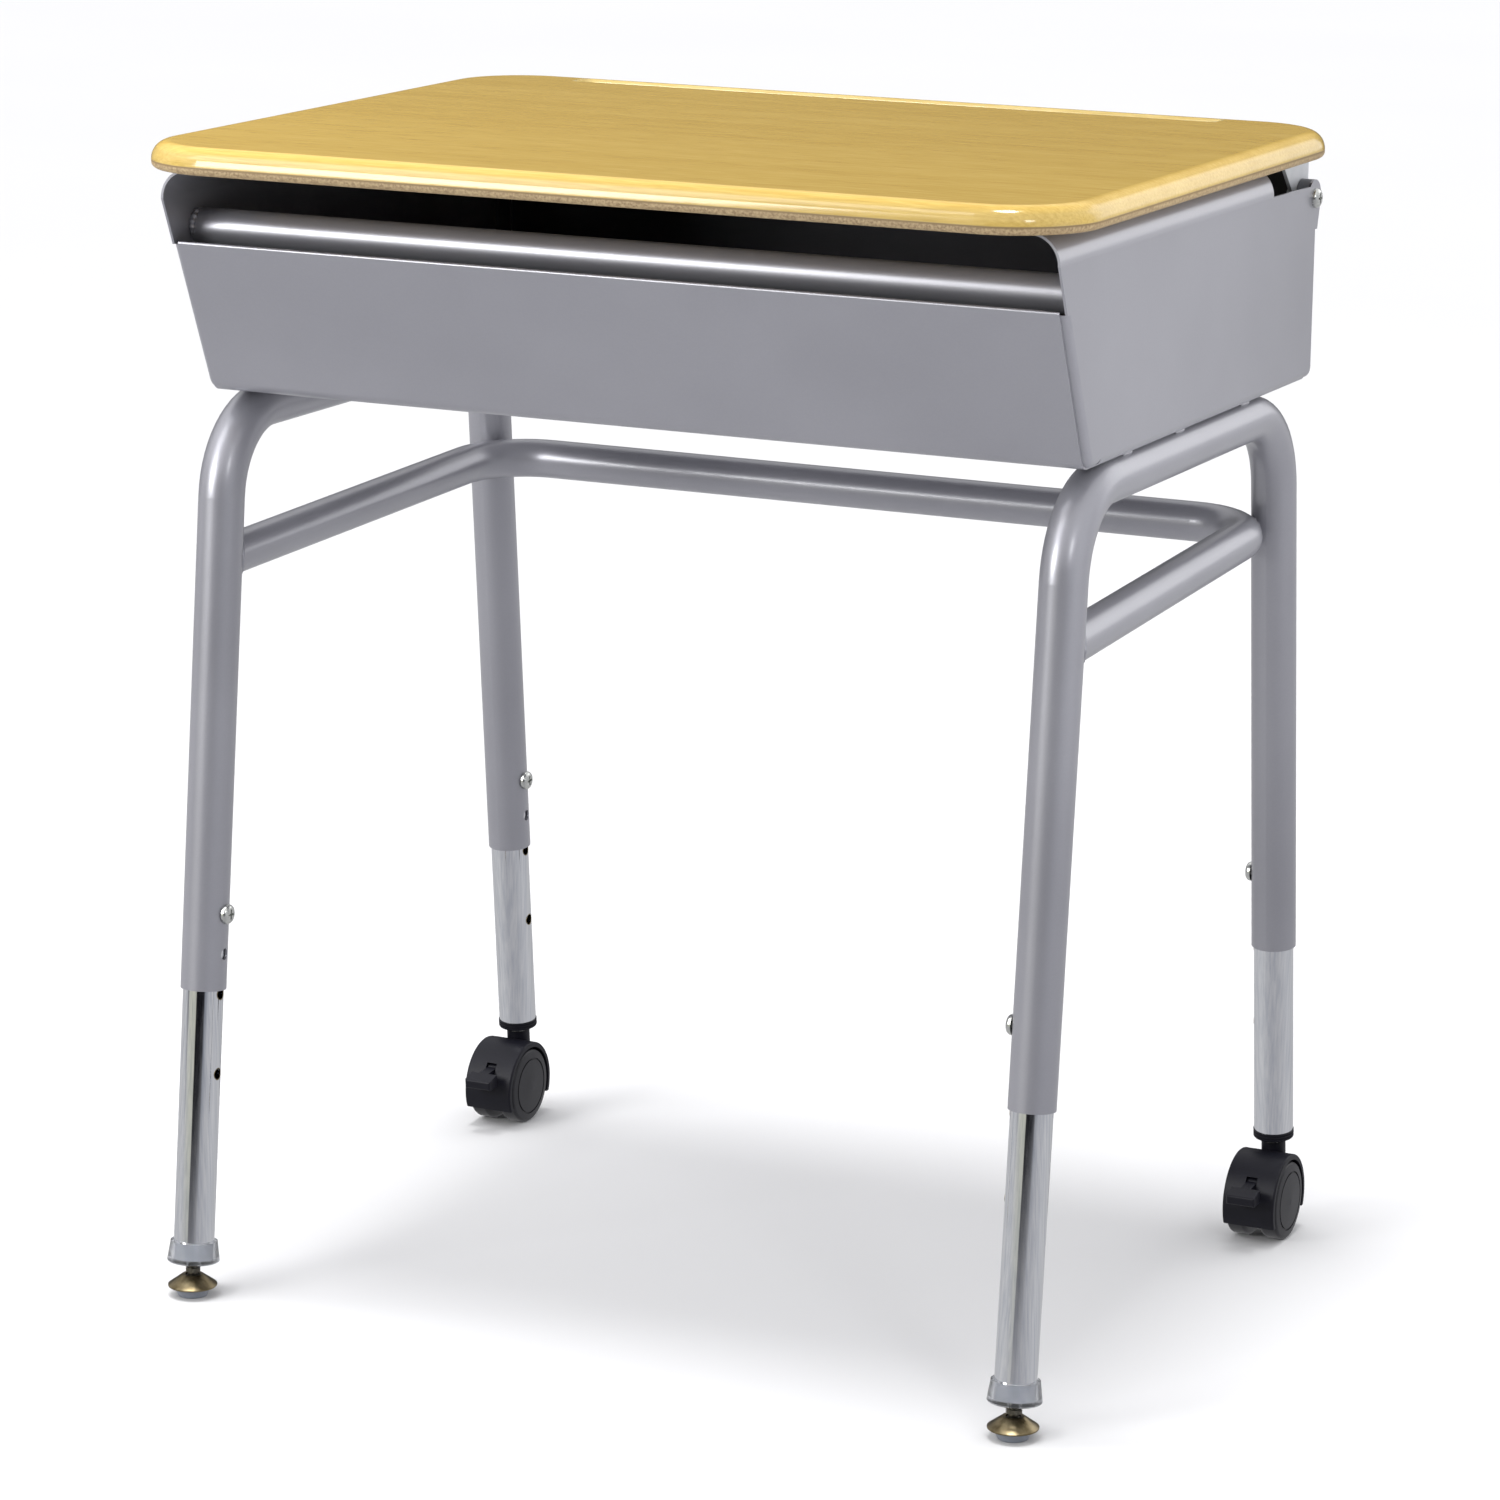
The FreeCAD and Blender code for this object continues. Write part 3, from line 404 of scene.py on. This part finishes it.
# Rail joints: short beads along both edges of the line where the rail carries the box
rail_bead_ys = (-0.087, -0.0025, 0.108)
rail_bead_aside = 0.0063
rail_bead_half_length = 0.0075
rail_bead_z = tray_low.z - 0.0009
rail_bead_steps = 16
rail_beads = []
for middle_y in rail_bead_ys:
    for edge_x in (leg_x - rail_bead_aside, leg_x + rail_bead_aside):
        bead = []
        for step in range(rail_bead_steps + 1):
            along_y = middle_y + rail_bead_half_length * (2 * step / rail_bead_steps - 1)
            bead.append(Vector((edge_x, along_y, rail_bead_z)))
        rail_beads.append(bead)
points, faces = bead_mesh(both_sides(rail_beads), thickness=0.0011, ripple_length=0.0028)
rail_welds = new_piece("weld_beads_rails", points, faces, silver_coat)
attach(rail_welds, "desk_frame")

# Cross tube joints: a long bead over the front and short ones below and behind, at each end.
# They lie inside the box side.
tube_low, tube_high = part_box("front_cross_tube")
tube_middle = (tube_low + tube_high) / 2
tube_radius = (tube_high.z - tube_low.z) / 2
tube_bead_x = tube_high.x - 0.0016
tube_bead_steps = 32
tube_beads = []
for middle_turn, half_arc in ((-100, 32), (20, 32), (150, 48)):
    bead = []
    for step in range(tube_bead_steps + 1):
        angle = math.radians(middle_turn + half_arc * (2 * step / tube_bead_steps - 1))
        bead.append(Vector((tube_bead_x, tube_middle.y + tube_radius * math.cos(angle),
                            tube_middle.z + tube_radius * math.sin(angle))))
    tube_beads.append(bead)
points, faces = bead_mesh(both_sides(tube_beads), thickness=0.0021, ripple_length=0.0036)
tube_welds = new_piece("weld_beads_cross_tube", points, faces, silver_coat)
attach(tube_welds, "desk_frame")


# Lid top: fibreboard wrapped over its face and shoulder with printed maple foil.
# The foil gives a satin gold with fine streaks across the desk.
# Below it the bare edge is speckled tan board.
def streaks(tree, place, sizes, detail, roughness=0.5):
    """A share from 0 to 1, in streaks of those millimetres along x, y and z."""
    scale = [per_mm(size) for size in sizes]
    stretched = add_node(tree, "ShaderNodeMapping", [("Vector", place), ("Scale", scale)]).outputs["Vector"]
    inputs = [("Vector", stretched), ("Scale", 1.0), ("Detail", detail), ("Roughness", roughness)]
    return add_node(tree, "ShaderNodeTexNoise", inputs).outputs["Fac"]


maple_foil, tree, shader, place = new_material("maple_foil_on_fibreboard")
# The grain sways by up to 8 mm
sway = add_node(tree, "ShaderNodeTexNoise", [("Vector", place), ("Scale", per_mm(110)), ("Detail", 2.0)])
sway_shift = add_node(tree, "ShaderNodeVectorMath", [(0, sway.outputs["Color"]), ("Scale", 0.008)],
                      operation="SCALE").outputs["Vector"]
wavy = add_node(tree, "ShaderNodeVectorMath", [(0, place), (1, sway_shift)],
                operation="ADD").outputs["Vector"]
fine_grain = streaks(tree, wavy, (30, 1.4, 1.4), 4.0, 0.6)
band_grain = streaks(tree, wavy, (300, 24, 24), 3.0)
band_weight = 0.3
grain = mix_shares(tree, band_weight, fine_grain, band_grain)
maple_tones = tones(tree, grain, (0.32, "#BD9940"), (0.5, "#C9A74B"), (0.68, "#D6B55F"))
board_tones = tones(tree, noise(tree, place, 1.6, 3.0), (0.35, "#7E694A"), (0.68, "#A8936F"))
spot = add_node(tree, "ShaderNodeSeparateXYZ", [("Vector", place)])
height = spot.outputs["Z"]
lid_low, lid_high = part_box("lid_top")
foil_edge_z = lid_low.z + 0.0052
foil_edge_blur = 0.0003
foil_share = share_between(tree, height, foil_edge_z - foil_edge_blur, foil_edge_z + foil_edge_blur)
# A dark line of glue shows along the foil's edge
glue_start_z = foil_edge_z - 0.0016
glue_full_z = foil_edge_z - 0.0006
glue_share = share_between(tree, height, glue_start_z, glue_full_z)
edge_colour = mix_colours(tree, glue_share, board_tones, linear("#77623F"))
# The foil on the shoulder is painted duller and darker, as painted shade against the front lamps that light
# it strongly
# Painted shade tones for the shoulder
shoulder_painted_shade_tones = tones(tree, grain, (0.36, "#A98F4C"), (0.64, "#BCA25E"))
shoulder_foot_z = lid_high.z - 0.0045
shoulder_head_z = lid_high.z - 0.0004
face_share = share_between(tree, height, shoulder_foot_z, shoulder_head_z)
foil_colour = mix_colours(tree, face_share, shoulder_painted_shade_tones, maple_tones)
# The foil in the pencil groove is painted paler, a painted highlight where the groove's far wall catches the
# light
# Painted highlight tones for the groove
groove_painted_highlight_tones = tones(tree, grain, (0.36, "#CDB87B"), (0.64, "#DFCF9C"))
groove_half_length = 0.2265
groove_near_y = lid_high.y - 0.0298
groove_far_y = lid_high.y - 0.0128
from_middle = arithmetic(tree, "ABSOLUTE", spot.outputs["X"])
in_length = arithmetic(tree, "LESS_THAN", from_middle, groove_half_length)
past_near = arithmetic(tree, "GREATER_THAN", spot.outputs["Y"], groove_near_y)
before_far = arithmetic(tree, "LESS_THAN", spot.outputs["Y"], groove_far_y)
in_width = arithmetic(tree, "MULTIPLY", past_near, before_far)
in_groove = arithmetic(tree, "MULTIPLY", in_width, in_length)
face_colour = mix_colours(tree, in_groove, foil_colour, groove_painted_highlight_tones)
lid_colour = mix_colours(tree, foil_share, edge_colour, face_colour)
tree.links.new(lid_colour, shader.inputs["Base Color"])
tree.links.new(roughness_by(tree, foil_share, 0.62, 0.13), shader.inputs["Roughness"])
tree.links.new(bump(tree, fine_grain, 0.02, 0.0003), shader.inputs["Normal"])
shader.inputs["IOR"].default_value = 1.5
finish_with(maple_foil, "lid_top")

# Lid brackets: bent steel leaves, screwed under the lid and turning on the pivot screws.
# They have a paler, thinner coat of grey paint than the box.
bracket_paint, tree, shader, place = new_material("pale_grey_baked_paint")
paint_tones = tones(tree, noise(tree, place, 12, 3.0), (0.0, "#B3B5BA"), (1.0, "#CACCCF"))
tree.links.new(paint_tones, shader.inputs["Base Color"])
shader.inputs["Metallic"].default_value = 0.3
shader.inputs["Roughness"].default_value = 0.38
finish_with(bracket_paint, "lid_bracket_left", "lid_bracket_right")

# Pivot spacers: turned discs of dark nylon that keep the bracket off the box side.
# The lathe leaves them matt and faintly scuffed.
spacer_nylon, tree, shader, place = new_material("dark_grey_turned_nylon")
spacer_tones = tones(tree, noise(tree, place, 2.5, 2.0), (0.0, "#4B4E54"), (1.0, "#5E6167"))
tree.links.new(spacer_tones, shader.inputs["Base Color"])
shader.inputs["Roughness"].default_value = 0.5
finish_with(spacer_nylon, "pivot_spacers")

# Screws, pivot nuts, caster stems, washers and axles: headed or turned steel with bright zinc plate.
# Zinc gives a pale, slightly cloudy shine.
bright_zinc, tree, shader, place = new_material("bright_zinc_plated_steel")
cloud = noise(tree, place, 3, 3.0)
zinc_tones = tones(tree, cloud, (0.0, "#BDBFBD"), (1.0, "#DADBD6"))
tree.links.new(zinc_tones, shader.inputs["Base Color"])
tree.links.new(roughness_by(tree, cloud, 0.16, 0.34), shader.inputs["Roughness"])
shader.inputs["Metallic"].default_value = 1.0
finish_with(bright_zinc, "pivot_screws", "pivot_nuts", "lid_bracket_screws", "height_screws",
            "caster_stem_left", "caster_stem_right", "caster_washer_left", "caster_washer_right",
            "caster_axle_left", "caster_axle_right")

# Glide stems and nuts: turned steel with zinc plate, in the collar's shade.
# Their dark, warm olive tone is painted shade for the collar's shadow, on a half-dull metal.
olive_zinc_painted_shade, tree, shader, place = new_material("olive_zinc_with_painted_shade")
# Dark tones painted on the stems and nuts as shade under the collar
olive_painted_shade_tones = tones(tree, noise(tree, place, 2, 3.0), (0.3, "#4B4840"), (0.75, "#77736A"))
tree.links.new(olive_painted_shade_tones, shader.inputs["Base Color"])
shader.inputs["Metallic"].default_value = 1.0
shader.inputs["Roughness"].default_value = 0.32
finish_with(olive_zinc_painted_shade, "glide_stem_left", "glide_stem_right", "glide_nut_left", "glide_nut_right")

# Leg inserts: drawn steel tube with bright chrome plate, sliding inside the legs.
# The draw leaves faint lines along the tube that break up the mirror.
bright_chrome, tree, shader, place = new_material("bright_chrome_plated_tube")
draw_lines = streaks(tree, place, (1.6, 1.6, 90), 3.0)
chrome_tones = tones(tree, draw_lines, (0.3, "#CDD0D6"), (0.7, "#E4E5E7"))
tree.links.new(chrome_tones, shader.inputs["Base Color"])
tree.links.new(roughness_by(tree, draw_lines, 0.03, 0.12), shader.inputs["Roughness"])
shader.inputs["Metallic"].default_value = 1.0
finish_with(bright_chrome, "leg_insert_front_left", "leg_insert_front_right", "leg_insert_rear_left",
            "leg_insert_rear_right")

# Glide collars: moulded clear plastic caps pressed over the lower ends of the front inserts.
# Low-density polyethylene is clear but hazy, and shows the tube inside.
clear_polyethylene, tree, shader, place = new_material("hazy_clear_polyethylene")
haze = noise(tree, place, 6, 3.0)
haze_tones = tones(tree, haze, (0.0, "#C2C4C9"), (1.0, "#DADCDF"))
tree.links.new(haze_tones, shader.inputs["Base Color"])
tree.links.new(roughness_by(tree, haze, 0.08, 0.18), shader.inputs["Roughness"])
shader.inputs["Transmission Weight"].default_value = 0.94
shader.inputs["IOR"].default_value = 1.51
finish_with(clear_polyethylene, "glide_collar_left", "glide_collar_right")

# Glide dishes: pressed steel cups with dull brass plate, crimped over the pads.
# The plate is uneven, in cloudy patches of olive and a brighter brass.
dull_brass, tree, shader, place = new_material("dull_brass_plated_steel")
tarnish = noise(tree, place, 5, 4.0)
brass_tones = tones(tree, tarnish, (0.3, "#65593F"), (0.75, "#94876A"))
tree.links.new(brass_tones, shader.inputs["Base Color"])
tree.links.new(roughness_by(tree, tarnish, 0.22, 0.4), shader.inputs["Roughness"])
shader.inputs["Metallic"].default_value = 1.0
finish_with(dull_brass, "glide_dish_left", "glide_dish_right")

# Hole rims: the brassy undercoat that shows as a thin ring round the punched holes of the inserts.
# Each ring lies on the insert's skin and slides with it.
# Reaches are measured up the leg's middle line from the floor.
insert_skin = 0.01264
hole_reaches = (0.19407, 0.14327)
rim_radius = 0.0037
rim_steps = 24
for end, foot, rise in (("front", front_foot, front_rise), ("rear", rear_foot, rear_rise)):
    for hand, side in (("left", -1), ("right", 1)):
        inboard = Vector((-side, 0, 0))
        across = rise.cross(inboard)
        rims = []
        for reach in hole_reaches:
            hole = Vector((side * foot.x, foot.y, foot.z)) + reach * rise
            rim = []
            for step in range(rim_steps + 1):
                angle = 2 * math.pi * step / rim_steps
                sideways = rim_radius * math.sin(angle)
                rim.append(hole + rim_radius * math.cos(angle) * rise + sideways * across
                           + math.sqrt(insert_skin ** 2 - sideways ** 2) * inboard)
            rims.append(rim)
        points, faces = bead_mesh(rims, thickness=0.00028, ripple_length=0.006)
        hole_rims = new_piece(f"hole_rims_{end}_{hand}", points, faces, dull_brass)
        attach(hole_rims, f"leg_{end}_{hand}")

# Glide pads: moulded grey plastic discs that rub on the floor.
# Moulding leaves them smooth, and the floor dulls them.
grey_polyethylene, tree, shader, place = new_material("grey_moulded_polyethylene")
pad_tones = tones(tree, noise(tree, place, 3, 3.0), (0.0, "#6B7079"), (1.0, "#858A93"))
tree.links.new(pad_tones, shader.inputs["Base Color"])
shader.inputs["Roughness"].default_value = 0.45
finish_with(grey_polyethylene, "glide_pad_left", "glide_pad_right")

# Casters: hoods, brake pedals and stem sockets are moulded black nylon with a fine spark-etched surface.
# The etch makes the black read as a soft blue-grey sheen.
black_nylon, tree, shader, place = new_material("black_etched_nylon")
# The real etch is about 0.1 mm, drawn here at 0.9 mm so that it shows
etch = noise(tree, place, 0.9, 2.0)
nylon_tones = tones(tree, noise(tree, place, 14, 2.0), (0.0, "#0C0C14"), (1.0, "#13131D"))
tree.links.new(nylon_tones, shader.inputs["Base Color"])
tree.links.new(roughness_by(tree, etch, 0.40, 0.55), shader.inputs["Roughness"])
tree.links.new(bump(tree, etch, 0.12, 0.0002), shader.inputs["Normal"])
shader.inputs["IOR"].default_value = 1.53
# The pits of the etch trap part of the light, so the sheen is weaker than on smooth nylon
shader.inputs["Specular IOR Level"].default_value = 0.2
finish_with(black_nylon, "caster_socket_left", "caster_socket_right", "caster_hood_left", "caster_hood_right",
            "caster_brake_left", "caster_brake_right")

# Caster wheels: moulded nylon with a slightly greyer, smoother face than the hood.
# The mould leaves it smooth, with a soft sheen.
wheel_nylon, tree, shader, place = new_material("charcoal_moulded_nylon")
wheel_tones = tones(tree, noise(tree, place, 8, 3.0), (0.0, "#17171C"), (1.0, "#202025"))
tree.links.new(wheel_tones, shader.inputs["Base Color"])
shader.inputs["Roughness"].default_value = 0.42
shader.inputs["IOR"].default_value = 1.53
shader.inputs["Specular IOR Level"].default_value = 0.3
finish_with(wheel_nylon, "caster_wheel_outer_left", "caster_wheel_outer_right", "caster_wheel_inner_left",
            "caster_wheel_inner_right")
